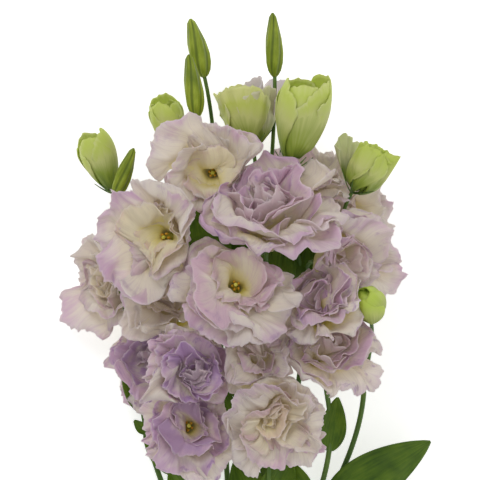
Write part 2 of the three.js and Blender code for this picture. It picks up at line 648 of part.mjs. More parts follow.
// A solid as a mesh's geometry, shared corners and all.
function geometryOf(solid) {
  const { numVert, numProp, vertProperties, triVerts } = solid.getMesh();
  const points = new Float32Array(numVert * 3);
  for (let i = 0; i < numVert; i++) points.set(vertProperties.subarray(i * numProp, i * numProp + 3), 3 * i);
  const geometry = new THREE.BufferGeometry();
  geometry.setAttribute("position", new THREE.BufferAttribute(points, 3));
  geometry.setIndex(new THREE.BufferAttribute(triVerts, 1));
  return geometry;
}

// Corners that meet at one spot are drawn a little apart, each towards its own faces, so that a surface
// never pinches to a point or a line.
function unpinched(geometry) {
  const { position } = geometry.attributes;
  const index = geometry.index.array;
  const spots = new Map();
  for (let i = 0; i < position.count; i++) {
    const place = [position.getX(i), position.getY(i), position.getZ(i)];
    const spot = place.map((x) => Math.round(x * 500)).join();
    spots.set(spot, [...(spots.get(spot) || []), i]);
  }
  const shared = new Set([...spots.values()].filter((list) => list.length > 1).flat());
  const pulls = new Map([...shared].map((i) => [i, new THREE.Vector3()]));
  const corner = (i) => new THREE.Vector3().fromBufferAttribute(position, i);
  for (let t = 0; t < index.length; t += 3)
    for (let k = 0; k < 3; k++) {
      const i = index[t + k];
      if (!shared.has(i)) continue;
      for (const j of [index[t + ((k + 1) % 3)], index[t + ((k + 2) % 3)]])
        pulls.get(i).add(corner(j).sub(corner(i)));
    }
  for (const [i, pull] of pulls) {
    const moved = corner(i).addScaledVector(pull.normalize(), 0.02);
    position.setXYZ(i, moved.x, moved.y, moved.z);
  }
  return geometry;
}

const group = new THREE.Group();
for (const { name, solid, colour } of pieces) {
  // Corners a thousandth apart count as one, so a thread that this parts is dropped as well.
  let moved = solid.translate([-centre.x, -centre.y, -TABLE]).simplify(0.02);
  for (let i = 0; i < 3; i++) moved = largestPiece(solidOf(unpinched(geometryOf(moved)), 1e-3));
  const mesh = new THREE.Mesh(
    unpinched(geometryOf(moved)),
    new THREE.MeshStandardMaterial({ color: colour, roughness: 0.55, metalness: 0 }),
  );
  mesh.name = name;
  group.add(mesh);
}

export default group;
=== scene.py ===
"""A cut bunch of double lisianthus, lying on a table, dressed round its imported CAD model."""

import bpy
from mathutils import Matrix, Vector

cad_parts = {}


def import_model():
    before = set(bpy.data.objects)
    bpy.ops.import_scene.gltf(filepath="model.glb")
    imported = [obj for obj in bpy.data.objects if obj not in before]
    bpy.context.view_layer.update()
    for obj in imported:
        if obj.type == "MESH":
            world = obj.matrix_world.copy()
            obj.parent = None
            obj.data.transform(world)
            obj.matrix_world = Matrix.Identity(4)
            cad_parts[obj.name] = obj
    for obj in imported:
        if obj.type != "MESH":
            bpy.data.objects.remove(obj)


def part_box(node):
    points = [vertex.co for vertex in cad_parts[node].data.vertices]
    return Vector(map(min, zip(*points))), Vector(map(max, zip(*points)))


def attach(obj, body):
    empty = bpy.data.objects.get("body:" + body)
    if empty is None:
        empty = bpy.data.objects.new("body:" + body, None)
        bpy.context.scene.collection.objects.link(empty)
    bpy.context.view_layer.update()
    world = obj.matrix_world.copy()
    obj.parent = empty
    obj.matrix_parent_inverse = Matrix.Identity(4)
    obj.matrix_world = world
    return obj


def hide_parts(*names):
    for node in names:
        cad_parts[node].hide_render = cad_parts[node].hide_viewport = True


bl_info = {
    "name": "Lisianthus Bunch",
    "version": (1, 0, 0),
    "blender": (4, 5, 0),
    "location": "3D View > Sidebar > Lisianthus",
    "description": "Models a tied bunch of double lisianthus on its CAD frame",
    "category": "Object",
}

import math

import bpy
import numpy as np
from mathutils import Vector

MM = 0.001

# Sizes and places are in millimetres, in the bunch's own layout. The flowers' places and radii, the
# stems, the band and the first 13 leaves are the CAD part's own. These are the scene's own: the whorls,
# FULL, WAVE, the ceiling, FULLNESS, the thicknesses and the last four leaves.
BLOOM_RADIUS = 41
BUD_LENGTH = 44
BASE_DEPTH = 16  # from a bloom's middle back to its base, at size 1
CORE_HEIGHT = 6.4
THROAT = 3.2  # clear radius round the pistil
BUD_PETAL_THICKNESS = 0.6
SEPAL_THICKNESS = 0.6
LEAF_THICKNESS = 0.5

STEM_RADIUS = 2.1
BRANCH_RADIUS = 1.35
GAP = 0.35
CUT_Y = -392
BAND_Y = -318
BAND_THICKNESS = 1.5
BAND_TURN = 2.6
BAND_TURNS = 3
BAND_GROOVE = 0.35  # between two turns
BAND_GRIP = 7
ROW_STEP = 4.15
SLOT_STEP = 4.8
LOW_ROW = STEM_RADIUS + GAP + BAND_THICKNESS

NEIGHBOUR = 1.4  # flowers nearer than this many times their radii press on each other
BUD_ROOM = 10  # what a pale bud's room is wider than the bud
LEAST_ROOM = 5  # from a flower's middle to a wall
KNEE = 0.82  # petals are free up to this share of the way to a wall
FULL = 1.04  # and reach no further than this, so they lap a little, which the CAD part's 0.95 prevents
WAVE = 3.5  # how far the walls wave in and out
SOFT_FLOOR = -9.0  # petals are pressed towards this level
TABLE_GIVE = 3  # and below this one they are eased flat on the table
SOFT_CEILING = 140  # petals above this level are pressed down
CEILING_GIVE = 14  # and stand no further above it than this

PETAL_ROOT = 0.04  # a petal's grid starts at this share of its length
LINE_END = 1.1  # and its middle line runs on to this share, for a rim that reaches past the tip
CRUMPLE = 2.8
CRUMPLE_FROM, CRUMPLE_TO = 6, 24  # distances from a flower's base between which the crumpling grows
BLOOM_FINENESS = (56, 18)  # steps across and along a petal's grid
BUD_FINENESS = (32, 24)

# The photograph's frame is this wide, in metres, at the height of the blooms, seen straight down.
FRAME_WIDTH = 0.336
BLOOM_HEIGHT = 0.08
CAMERA_HEIGHT = 3.2
SENSOR = 36
FOCUS = (0, -20, 60)  # where the lamps point
LAMPS = (((-0.5, 0.9, 1.4), 7, 0.7), ((0.9, -0.2, 1.3), 3, 1.2))  # place in metres, energy, size
FLOOR_SIZE = 8
FLOOR_LEVEL = -0.0005

# Whorls of petals from the outside in. Angles of lean are from the flower's axis, in degrees.
BLOOM_WHORLS = (
    dict(
        count=5, length=50, half=41, lean=(38, 40, 64, 92), wrap=0.5, pad=6,
        ruffle=4.2, root=4.0, rise=1.8, turn=0.0,
    ),
    dict(
        count=5, length=45, half=42, lean=(28, 30, 52, 80), wrap=0.6, pad=6,
        ruffle=4.2, root=3.0, rise=3.0, turn=0.6,
    ),
    dict(
        count=4, length=40, half=43, lean=(18, 20, 40, 64), wrap=0.75, pad=6,
        ruffle=4.0, root=1.6, rise=3.8, turn=0.3,
    ),
    dict(
        count=4, length=31, half=46, lean=(12, 18, 34, 54), wrap=0.9, pad=6,
        ruffle=3.0, root=1.0, rise=4.4, turn=0.9,
    ),
)
# Small petals crowded over the pistil, in the blooms whose throat doesn't show.
CLOSING_WHORL = dict(
    count=4, length=29, half=44, lean=(6, 4, -16, -58), wrap=0.7, pad=6,
    ruffle=2.6, root=1.2, rise=4.8, turn=0.5,
)
OPEN_THROATS = ("top", "west", "heart", "foot_west")
# More and narrower petals, in the fullest blooms.
FULLEST = ("plum", "foot_cream")
FULL_WHORLS = (
    dict(BLOOM_WHORLS[0]),
    dict(BLOOM_WHORLS[1], count=6, half=36, ruffle=4.2),
    dict(BLOOM_WHORLS[2], count=6, half=32, ruffle=4.0),
    dict(BLOOM_WHORLS[3], count=5, half=36, lean=(10, 12, 20, 30), ruffle=3.6),
    dict(CLOSING_WHORL, count=5, half=36),
)
# Blooms seen partly from the side, whose inner petals stand upright in layers.
LAYERED = ("crown", "east", "east_foot", "far_west", "under_west")
LAYERED_WHORLS = (
    dict(BLOOM_WHORLS[0], ruffle=3.2, half=44),
    dict(BLOOM_WHORLS[1], lean=(28, 30, 42, 56), ruffle=3.0, half=46),
    dict(BLOOM_WHORLS[2], lean=(18, 26, 26, 22), ruffle=4.4, count=5, length=38),
    dict(BLOOM_WHORLS[3], lean=(12, 14, 2, -16), ruffle=4.2, length=36),
    dict(CLOSING_WHORL),
)
BUD_WHORLS = (
    dict(
        count=5, length=44, half=30, lean=(27, 22, 5, -24), wrap=1, pad=0,
        ruffle=0.5, root=2.6, rise=0, turn=0.0, corner=0.34, tip=1.5, claw=2.4,
    ),
)
OPENING_WHORLS = (
    dict(
        count=5, length=44, half=32, lean=(62, 24, 4, 14), wrap=0.9, pad=1,
        ruffle=2.2, root=2.8, rise=0, turn=0.0,
    ),
    dict(
        count=4, length=40, half=30, lean=(50, 14, -4, -10), wrap=0.9, pad=1,
        ruffle=1.6, root=2.2, rise=1, turn=0.5,
    ),
)
FRILLY_WHORLS = (
    dict(OPENING_WHORLS[0], ruffle=5.0, lean=(62, 24, -4, -14)),
    dict(OPENING_WHORLS[1], ruffle=6.0, lean=(50, 14, 2, 10), length=43),
)
# Petals that stray from a bud: number, extra lean at the tip, share of lavender-white.
STRAYS = {"bud_white": {3: (24, 1.0), 2: (4, 0.5), 7: (8, 1.0)}, "bud_right": {0: (62, 0.4)}}
ROUND_WHORLS = (
    dict(
        count=5, length=50, half=34, lean=(80, 34, -22, -60), wrap=1, pad=0,
        ruffle=1.2, root=2.6, rise=0, turn=0.0,
    ),
    dict(
        count=5, length=50, half=23, lean=(60, 28, -36, -104), wrap=1, pad=0,
        ruffle=1.2, root=1.6, rise=2, turn=0.7,
    ),
)

# middle, radius, faces, open, lavender, cream, seed
BLOOMS = {
    "top": ((-19, 47, 98), 40, (0, -0.06, 1), 0.95, 0.2, 0.75, 1),
    "crown": ((19, 11, 106), 52, (0.02, 0.78, 0.62), 1.05, 0.74, 0.1, 2),
    "west": ((-52, 2, 106), 38, (-0.42, -0.05, 0.9), 0.84, 0.25, 0.8, 3),
    "far_west": ((-84, -30, 24), 44, (-0.8, 0.05, 0.56), 0.85, -0.1, 0.6, 4),
    "heart": ((-3, -31, 118), 47, (0.05, 0.3, 0.95), 1.1, 0.55, 0.3, 5),
    "under_west": ((-51, -46, 66), 38, (-0.05, 0.6, 0.8), 1.1, 0.1, 0.4, 6),
    "plum_back": ((-57, -82, 32), 39, (-0.45, 0, 0.86), 1.1, 0.9, 0.1, 7),
    "plum": ((-34, -89, 96), 37, (0.1, -0.1, 0.98), 0.88, 0.95, 0.2, 8),
    "foot_west": ((-36, -130, 86), 38, (0.1, 0.1, 0.97), 0.95, 0.9, 0.3, 9),
    "foot_cream": ((25, -124, 102), 39, (0.05, -0.15, 0.98), 1.0, 0.3, 1.0, 10),
    "east_foot": ((60, -78, 86), 39, (0.06, 0.55, 0.83), 1.0, 0.6, 0.3, 11),
    "inner": ((11, -80, 96), 36, (0, 0.2, 0.98), 0.95, 0.4, 0.2, 12),
    "east": ((52, -45, 98), 36, (0, 0.5, 0.84), 0.95, 0.78, 0, 13),
    "far_east": ((65, -15, 76), 40, (0.65, 0, 0.76), 0.85, 0.5, 0.3, 14),
    "back_east": ((68, 24, 28), 42, (0.6, 0.35, 0.5), 1.0, 0.1, 0.3, 15),
    "back_north": ((48, 35, 62), 35, (0.1, 0.8, 0.5), 1.0, 0.1, 0.3, 16),
}
# base, tip, radius, whorls, seed
PALE_BUDS = {
    "bud_left": ((-89, 34, 66), (-106, 74, 70), 12, BUD_WHORLS, 21),
    "bud_inner_left": ((-45, 60, 58), (-54, 98, 62), 11.5, BUD_WHORLS, 22),
    "bud_white": ((9, 66, 56), (1, 115, 64), 21, OPENING_WHORLS, 23),
    "bud_tall": ((36, 50, 88), (48, 117, 92), 17, BUD_WHORLS, 24),
    "bud_right": ((79, 34, 74), (100, 67, 82), 18, FRILLY_WHORLS, 25),
    "bud_round": ((90, -52, 84), (84, -38, 107), 12, ROUND_WHORLS, 26),
}
# How much larger or smaller the petals of these are than their radius or length gives.
FULLNESS = {
    "bud_round": 1.22,
    "bud_inner_left": 1.1,
    "far_east": 1.1,
    "east": 1.2,
    "crown": 1.05,
    "heart": 1.04,
    "far_west": 0.9,
}
# Share of cream in a pale bud's green.
BUD_CREAM = {"bud_round": 0.3, "bud_right": 0.7, "bud_white": 1.0}
USUAL_CREAM = 0.8
# base, tip, radius
SLIM_BUDS = {
    "slim_high_left": ((-25, 115, 54), (-35, 156, 58), 7.2),
    "slim_low_left": ((-30, 86, 74), (-36, 130, 78), 6.6),
    "slim_high_right": ((24.5, 115, 60), (23, 160, 62), 6.2),
    "slim_far_left": ((-87, 30, 88), (-74, 64, 94), 5.6),
}
# slot at the band, fork, carries
STEMS = {
    "stem_far_left": ((-1.5, -1), (-70, -112, 20), ("far_west", "bud_left", "slim_far_left")),
    "stem_left": ((-1, 0), (-48, -128, 24), ("under_west", "plum_back")),
    "stem_left_front": ((-1.5, 1), (-26, -172, 40), ("foot_west", "plum")),
    "stem_mid_left": ((-0.5, 1), (-24, -100, 34), ("west", "bud_inner_left")),
    "stem_mid": ((-0.5, -1), (-14, -50, 26), ("top", "slim_high_left", "slim_low_left")),
    "stem_heart": ((0, 0), (0, -112, 36), ("heart", "inner")),
    "stem_mid_right": ((0.5, -1), (16, -60, 26), ("crown", "bud_white", "slim_high_right")),
    "stem_cream": ((0.5, 1), (20, -180, 44), ("foot_cream",)),
    "stem_back": ((1, 0), (46, -52, 26), ("back_east", "back_north", "bud_tall")),
    "stem_right": ((1.5, 1), (64, -140, 44), ("east_foot", "east")),
    "stem_far_right": ((1.5, -1), (88, -108, 34), ("far_east", "bud_right", "bud_round")),
}
# stem, share along it, reach, half width, seed
LEAVES = (
    ("stem_far_right", 0.63, (74, 44, 8), 17, 1),
    ("stem_right", 0.95, (6, 38, 4), 9, 2),
    ("stem_cream", 0.84, (-22, 46, -12), 15, 3),
    ("stem_right", 0.7, (-36, 44, -8), 15, 4),
    ("stem_left_front", 0.8, (-26, 40, -10), 13, 5),
    ("stem_left", 0.8, (-26, 30, -6), 9, 6),
    ("stem_back", 1.0, (4, 52, 18), 15, 7),
    ("stem_mid", 1.0, (-19, 84, 38), 18, 8),
    ("stem_heart", 1.0, (2, 42, 8), 12, 9),
    ("stem_far_left", 0.95, (-4, 62, 8), 13, 10),
    ("stem_cream", 0.95, (16, 34, -6), 11, 11),
    ("stem_mid_right", 1.0, (16, 70, 30), 16, 12),
    ("stem_mid", 1.0, (14, 76, 26), 14, 13),
    ("stem_heart", 0.8, (-20, 56, 4), 13, 14),
    ("stem_far_left", 0.88, (-9, 9, 3), 3.5, 15),
    ("stem_far_left", 0.88, (7, 11, 3), 3, 16),
    ("stem_mid_right", 1.0, (14, 126, 38), 8, 17),
)

AROUND = Vector((0, 0, 0))  # the bunch's layout is moved by this, in metres, to the CAD part's origin


# ---------------------------------------------------------------- small helpers


def chance(seed, index):
    x = math.sin(seed * 127.1 + index * 311.7) * 43758.5453
    return x - math.floor(x)


def ease(low, high, x):
    t = np.clip((x - low) / (high - low), 0, 1)
    return t * t * (3 - 2 * t)


def unit(v):
    v = np.asarray(v, float)
    return v / np.linalg.norm(v)


def frame_along(direction):
    """The rotation whose third column is the direction."""
    z = unit(direction)
    aside = np.array((0, 1, 0) if abs(z[1]) < 0.9 else (1, 0, 0), float)
    x = unit(np.cross(aside, z))
    return np.stack([x, np.cross(z, x), z], axis=1)


def tone(r, g, b):
    """A colour given as 0 to 255, as the shader wants it."""

    def line(c):
        c /= 255
        return c / 12.92 if c <= 0.04045 else ((c + 0.055) / 1.055) ** 2.4

    return (line(r), line(g), line(b), 1)


def clear_selection():
    for o in bpy.context.selected_objects:
        o.select_set(False)


def settle(o, name, *materials):
    """Names a finished piece, gives it its materials, and leaves its object at the origin."""
    o.name = name
    o.data.name = name
    if not o.data.materials:
        for m in materials:
            o.data.materials.append(m)
    return o


def dress(o, slot, *nodes):
    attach(o, "root")
    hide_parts(*nodes)


def joined(parts):
    clear_selection()
    for o in parts:
        o.select_set(True)
    bpy.context.view_layer.objects.active = parts[0]
    if len(parts) > 1:
        bpy.ops.object.join()
    return bpy.context.view_layer.objects.active


def apply_all(o):
    clear_selection()
    o.select_set(True)
    bpy.context.view_layer.objects.active = o
    for m in list(o.modifiers):
        bpy.ops.object.modifier_apply(modifier=m.name)


def thicken(o, thickness):
    """Gives a thin surface this many millimetres of thickness, and applies all its modifiers."""
    flesh = o.modifiers.new("flesh", "SOLIDIFY")
    flesh.thickness = thickness * MM
    flesh.offset = 0
    apply_all(o)


def sew(fill=False):
    """Joins the seam of the active piece, closes its ends if asked, and turns its faces outwards."""
    bpy.ops.object.mode_set(mode="EDIT")
    bpy.ops.mesh.select_all(action="SELECT")
    bpy.ops.mesh.remove_doubles(threshold=1e-6)
    if fill:
        bpy.ops.mesh.select_all(action="DESELECT")
        bpy.ops.mesh.select_non_manifold()
        bpy.ops.mesh.fill_holes(sides=0)
        bpy.ops.mesh.select_all(action="SELECT")
    bpy.ops.mesh.normals_make_consistent(inside=False)
    bpy.ops.object.mode_set(mode="OBJECT")


def grid(across, along):
    """A new grid: its mesh object, and u (0 to 1 along) and v (-1 to 1 across) of each vertex."""
    bpy.ops.mesh.primitive_grid_add(x_subdivisions=across, y_subdivisions=along, size=2)
    o = bpy.context.active_object
    co = np.zeros(len(o.data.vertices) * 3, np.float32)
    o.data.vertices.foreach_get("co", co)
    co = co.reshape(-1, 3).astype(float)
    return o, (co[:, 1] + 1) / 2, co[:, 0]


def place(o, points):
    """Moves each vertex to its point, given in millimetres in the bunch's layout."""
    world = points * MM + np.array(AROUND)
    o.data.vertices.foreach_set("co", world.astype(np.float32).ravel())
    o.data.update()


def mark(o, **values):
    """Stores numbers on the vertices, for the material to read."""
    count = len(o.data.vertices)
    for name, value in values.items():
        a = o.data.attributes.new(name, "FLOAT", "POINT")
        a.data.foreach_set("value", np.broadcast_to(np.asarray(value, np.float32), count).copy())


# ---------------------------------------------------------------- petals


def petal_line(petal):
    """The middle line of a petal: distance out from the axis, height and lean at a share of it."""
    lean = petal["lean"]
    knots = (0, 0.33, 0.66, 1, LINE_END)
    values = (*lean, lean[3] + (lean[3] - lean[2]) * 0.3)
    share = np.linspace(0, LINE_END, 25)
    middle = np.radians(np.interp((share[1:] + share[:-1]) / 2, knots, values))
    step = LINE_END / 24 * petal["length"]
    out = petal["root"] + np.concatenate([[0], np.cumsum(np.sin(middle) * step)])
    up = petal["rise"] + np.concatenate([[0], np.cumsum(np.cos(middle) * step)])

    def read(s):
        s = np.clip(s, 0, LINE_END)
        angle = np.radians(np.interp(s, knots, values))
        return np.interp(s, share, out), np.interp(s, share, up), angle

    return read


def petal_points(u, v, p):
    """Points of a petal in its flower's own frame, in millimetres."""
    u = PETAL_ROOT + (1 - PETAL_ROOT) * u
    side = np.abs(v)
    phase, waves, nicks = p["phase"], p["waves"], p["nicks"]
    nick = p["nick"] * np.sin(nicks * v + phase * 1.7) * np.sin(2.3 * nicks * v + phase)
    nick += p["nick"] * 0.7 * np.sin(37 * v + 5 * phase) * np.sin(23 * v + phase)
    rim = 1 - p["corner"] * side ** p["tip"] + nick
    reach = p["length"] * u * (1 + (rim - 1) * u**1.5)
    spread = v * math.radians(p["half"]) * (0.42 + 0.58 * ease(0, 0.6, u))
    x = reach * np.sin(spread) + v * p["claw"]
    y = reach * np.cos(spread * 0.8)
    out, up, angle = petal_line(p)(y / p["length"])
    bend = p["wrap"] / np.maximum(out + p["pad"], 3 + p["pad"])
    aside = np.sin(bend * x) / bend
    inward = (1 - np.cos(bend * x)) / bend
    grow = u**2.2 * (0.35 + 0.65 * side**1.2)
    wave = p["ruffle"] * grow * np.sin(waves * v + phase + 1.2 * np.sin(2.1 * v + phase * 0.7))
    wave += p["ruffle"] * 0.35 * u**4 * np.sin(waves * 2.3 * v + phase * 2.1)
    rim_near = ease(0.62, 1, np.maximum(u, side * 0.97))
    frills = np.sin(waves * 2.3 * v + 5 * u + phase * 3.3)
    frills += 0.7 * np.sin(waves * 4.1 * v - 5 * u + phase * 5.1)
    frills += 0.7 * side**3 * np.sin(17 * u + phase * 2.3)
    wave += p["frill"] * rim_near * frills
    wave += p["frill"] * 0.3 * u * np.sin(19 * v + 2.5 * np.sin(4 * u + phase))
    wave += p["fold"] * u**1.5 * side
    wave += p["curl"] * ease(0.55, 1.05, u) ** 2 * (0.6 + 0.4 * np.sin(1.7 * v + phase * 1.3))
    wave += (p["twist"] * u * p["length"] * 0.12 + p["swirl"] * np.minimum(1, 1.5 * u)) * v
    push = wave - inward
    radial = out + np.cos(angle) * push
    height = up - np.sin(angle) * push
    clear = THROAT * min(1, p["pad"]) * (1 - 0.85 * ease(18, 24, height))
    widen = np.sqrt(1 + clear**2 / np.maximum(radial**2 + aside**2, 0.01))
    c, s = math.cos(p["azimuth"]) * widen, math.sin(p["azimuth"]) * widen
    return np.stack([radial * c - aside * s, radial * s + aside * c, height], -1)


def crumple(points, seed):
    """Bends a flower softly out of true, all its petals together."""
    x, y, z = points.T
    shift = [
        np.sin(0.17 * y + 0.11 * z + 2.1 * seed) + 0.5 * np.sin(0.29 * z - 0.21 * x + seed),
        np.sin(0.16 * z - 0.13 * x + 1.7 * seed) + 0.5 * np.sin(0.27 * x + 0.22 * y + 3 * seed),
        np.sin(0.18 * x + 0.12 * y + 0.9 * seed) + 0.5 * np.sin(0.26 * y - 0.24 * z + 5 * seed),
    ]
    share = ease(CRUMPLE_FROM, CRUMPLE_TO, np.linalg.norm(points, axis=1))
    return points + CRUMPLE * share[:, None] * np.stack(shift, -1)


def petals_of(whorls, seed, size, open_):
    petals = []
    for w, whorl in enumerate(whorls):
        for i in range(whorl["count"]):
            c = [chance(seed, 10 * (len(petals) + 1) + j) for j in range(9)]
            d = [chance(seed + 40, 10 * (len(petals) + 1) + j) for j in range(5)]
            loose = whorl["pad"] / 6
            turned = 2 * math.pi * (i + 0.4 * (c[0] - 0.5)) / whorl["count"]
            length = whorl["length"] * size * (0.9 + 0.2 * c[1])
            petals.append(
                dict(
                    whorl,
                    azimuth=whorl["turn"] + seed * 1.3 + turned,
                    length=length * (1 + 0.3 * loose * (d[0] - 0.6)),
                    half=whorl["half"] * (0.92 + 0.2 * c[2]),
                    lean=[
                        a * (open_ if k else 1) * (1 + 0.1 * k * (c[3] - 0.5))
                        + (whorl["pad"] * (i % 2) + 28 * loose * (d[1] - 0.5)) * k / 3
                        for k, a in enumerate(whorl["lean"])
                    ],
                    ruffle=whorl["ruffle"] * size * (0.6 + 0.8 * c[4]),
                    wrap=whorl["wrap"] * (1 + 1.2 * loose * (d[2] - 0.5)),
                    fold=9 * size * loose * (d[3] - 0.5),
                    frill=0.7 * size * (0.5 + c[5]) * loose,
                    waves=4.2 + 3.0 * c[5] + 2.5 * loose * d[4],
                    phase=6.28 * c[6],
                    corner=whorl.get("corner", 0.22 + 0.1 * c[7]),
                    tip=whorl.get("tip", 2.6),
                    nick=0.022,
                    nicks=6.5 + 3 * c[8],
                    claw=whorl.get("claw", 0.3) * size,
                    curl=(2.5 - w * 0.4) * size * (c[8] * 1.6 - 0.3) * loose,
                    twist=c[1] * 0.9 * loose,
                    swirl=1.8 * size,
                    root=whorl["root"] * size,
                    rise=whorl["rise"] * size,
                    layer=w / max(len(whorls) - 1, 1),
                    tint=c[0],
                )
            )
    return petals


def crowd():
    """Middle and radius of every flower that presses on its neighbours."""
    every = {name: (np.array(b[0], float), b[1]) for name, b in BLOOMS.items()}
    for name, (base, tip, radius, _whorls, _seed) in PALE_BUDS.items():
        every[name] = ((np.array(base, float) + np.array(tip, float)) / 2, radius + BUD_ROOM)
    return every


def wall_wave(points):
    """How far the walls between flowers wave in and out at a point, so that petals interlock."""
    x, y, z = points.T
    broad = np.sin(0.16 * x + 0.05 * y + 0.7) * np.cos(0.15 * y - 0.07 * z + 0.4)
    return WAVE * (broad + 0.4 * np.sin(0.21 * z + 0.13 * x))


def room_of(name):
    """A function that presses points back inside the room that a flower has among its neighbours."""
    every = crowd()
    order = list(every)
    middle, radius = every[name]
    walls = [(np.array((0, 0, -1.0)), middle[2] - SOFT_FLOOR, 0)]
    for other, (point, size) in every.items():
        if other == name:
            continue
        between = point - middle
        apart = np.linalg.norm(between)
        if apart > (radius + size) * NEIGHBOUR:
            continue
        wave = 1 if order.index(name) < order.index(other) else -1
        distance = max((apart**2 + radius**2 - size**2) / (2 * apart), LEAST_ROOM)
        walls.append((between / apart, distance, wave))

    def keep_in(points):
        ray = points - middle
        far = np.linalg.norm(ray, axis=1) + 1e-9
        ray /= far[:, None]
        limit = np.full(len(far), 1e9)
        for normal, distance, wave in walls:
            facing = ray @ normal
            near = facing > 1e-3
            facing = facing[near]
            reach = distance / facing
            if wave:
                for _ in range(6):
                    waved = distance + wave * wall_wave(middle + ray[near] * reach[:, None])
                    reach = 0.5 * reach + 0.5 * waved / facing
            limit[near] = np.minimum(limit[near], reach)
        t = far / limit
        pressed = KNEE + (FULL - KNEE) * (1 - np.exp(-(t - KNEE) / (FULL - KNEE)))
        kept = np.where(t < KNEE, t, pressed)
        points = middle + ray * (kept * limit)[:, None]
        low = points[:, 2] < TABLE_GIVE
        points[low, 2] = TABLE_GIVE * np.exp((points[low, 2] - TABLE_GIVE) / TABLE_GIVE)
        over = np.maximum(points[:, 2] - SOFT_CEILING, 0)
        points[:, 2] += CEILING_GIVE * (1 - np.exp(-over / CEILING_GIVE)) - over
        return points

    return keep_in


def seat_of(name):
    """Where a flower sits on its stem, and the way it faces."""
    if name in BLOOMS:
        middle, radius, faces = BLOOMS[name][:3]
        faces = unit(faces)
        return np.array(middle) - faces * BASE_DEPTH * radius / BLOOM_RADIUS, faces
    base, tip = (PALE_BUDS.get(name) or SLIM_BUDS[name])[:2]
    return np.array(base, float), unit(np.array(tip) - np.array(base))


def corolla(name, whorls, seed, size, open_, fineness, thickness, lavender, cream):
    """All the petals of a flower, as one mesh object."""
    base, faces = seat_of(name)
    turned = frame_along(faces)
    keep_in = room_of(name)
    parts = []
    for number, petal in enumerate(petals_of(whorls, seed, size, open_)):
        o, u, v = grid(*fineness)
        stray, bare = STRAYS.get(name, {}).get(number, (0, 0))
        petal["lean"] = [a + stray * k / 3 for k, a in enumerate(petal["lean"])]
        points = petal_points(u, v, petal)
        if petal["pad"] > 1:
            points = crumple(points, seed)
        place(o, keep_in(points @ turned.T + base))
        mark(o, petal_tint=petal["tint"], petal_layer=petal["layer"])
        mark(o, lavender=lavender, cream=cream, bare=bare)
        parts.append(o)
    o = joined(parts)
    thicken(o, thickness)
    half = len(o.data.vertices) // 2  # the thickened mesh lists one side of the petals, then the other
    mark(o, under=np.repeat((1, 0), (half, half)))
    o.data.shade_smooth()
    return o


# ---------------------------------------------------------------- materials


class Nodes:
    """Short ways to add shader nodes to a material."""

    def __init__(self, name):
        self.material = bpy.data.materials.new(name)
        self.material.use_nodes = True
        self.tree = self.material.node_tree
        self.shader = self.tree.nodes["Principled BSDF"]

    def add(self, kind, **values):
        node = self.tree.nodes.new("ShaderNode" + kind)
        for key, value in values.items():
            setattr(node, key, value)
        return node

    def link(self, out, into):
        self.tree.links.new(out, into)

    def feed(self, socket, value):
        if isinstance(value, bpy.types.NodeSocket):
            self.link(value, socket)
        else:
            socket.default_value = value

    def math(self, operation, a, b=0.0, c=0.0, clamp=False):
        node = self.add("Math", operation=operation, use_clamp=clamp)
        for socket, value in zip(node.inputs, (a, b, c)):
            self.feed(socket, value)
        return node.outputs[0]

    def times(self, a, b):
        return self.math("MULTIPLY", a, b)

    def plus(self, a, b):
        return self.math("ADD", a, b)

    def linear(self, value, factor, offset):
        return self.math("MULTIPLY_ADD", value, factor, offset)

    def mix(self, factor, a, b):
        node = self.add("Mix", data_type="RGBA")
        self.feed(node.inputs[0], factor)
        self.feed(node.inputs[6], a)
        self.feed(node.inputs[7], b)
        return node.outputs[2]

    def number(self, name):
        return self.add("Attribute", attribute_name=name).outputs["Fac"]

    def uv(self):
        split = self.add("SeparateXYZ")
        self.link(self.add("UVMap", uv_map="UVMap").outputs[0], split.inputs[0])
        return split.outputs[0], split.outputs[1]

    def vector(self, x, y, z=0.0):
        node = self.add("CombineXYZ")
        for socket, value in zip(node.inputs, (x, y, z)):
            self.feed(socket, value)
        return node.outputs[0]

    def noise(self, vector, scale, detail=2.0, roughness=0.5):
        node = self.add("TexNoise")
        self.link(vector, node.inputs["Vector"])
        node.inputs["Scale"].default_value = scale
        node.inputs["Detail"].default_value = detail
        node.inputs["Roughness"].default_value = roughness
        return node.outputs["Fac"]

    def streak(self, across, along, shift, stretch, detail, roughness=0.5):
        """Noise stretched across and along a surface, and shifted by a number of its own."""
        at = self.vector(self.times(across, stretch[0]), self.times(along, stretch[1]), shift)
        return self.noise(at, 1.0, detail, roughness)

    def step(self, value, low, high):
        node = self.add("MapRange", interpolation_type="SMOOTHSTEP")
        self.feed(node.inputs[0], value)
        node.inputs[1].default_value = low
        node.inputs[2].default_value = high
        return node.outputs[0]

    def ramp(self, value, *stops):
        node = self.add("ValToRGB")
        elements = node.color_ramp.elements
        elements[0].position, elements[0].color = stops[0]
        elements[1].position, elements[1].color = stops[-1]
        for position, colour in stops[1:-1]:
            elements.new(position).color = colour
        self.feed(node.inputs[0], value)
        return node.outputs[0]

    def shine_through(self, colour, share):
        """Lets light through a thin surface, in this colour."""
        through = self.add("BsdfTranslucent")
        self.feed(through.inputs["Color"], colour)
        both = self.add("MixShader")
        both.inputs[0].default_value = share
        self.link(self.shader.outputs[0], both.inputs[1])
        self.link(through.outputs[0], both.inputs[2])
        self.link(both.outputs[0], self.tree.nodes["Material Output"].inputs["Surface"])

    def bump(self, height, strength, distance):
        node = self.add("Bump")
        node.inputs["Strength"].default_value = strength
        node.inputs["Distance"].default_value = distance
        self.link(height, node.inputs["Height"])
        self.link(node.outputs[0], self.shader.inputs["Normal"])


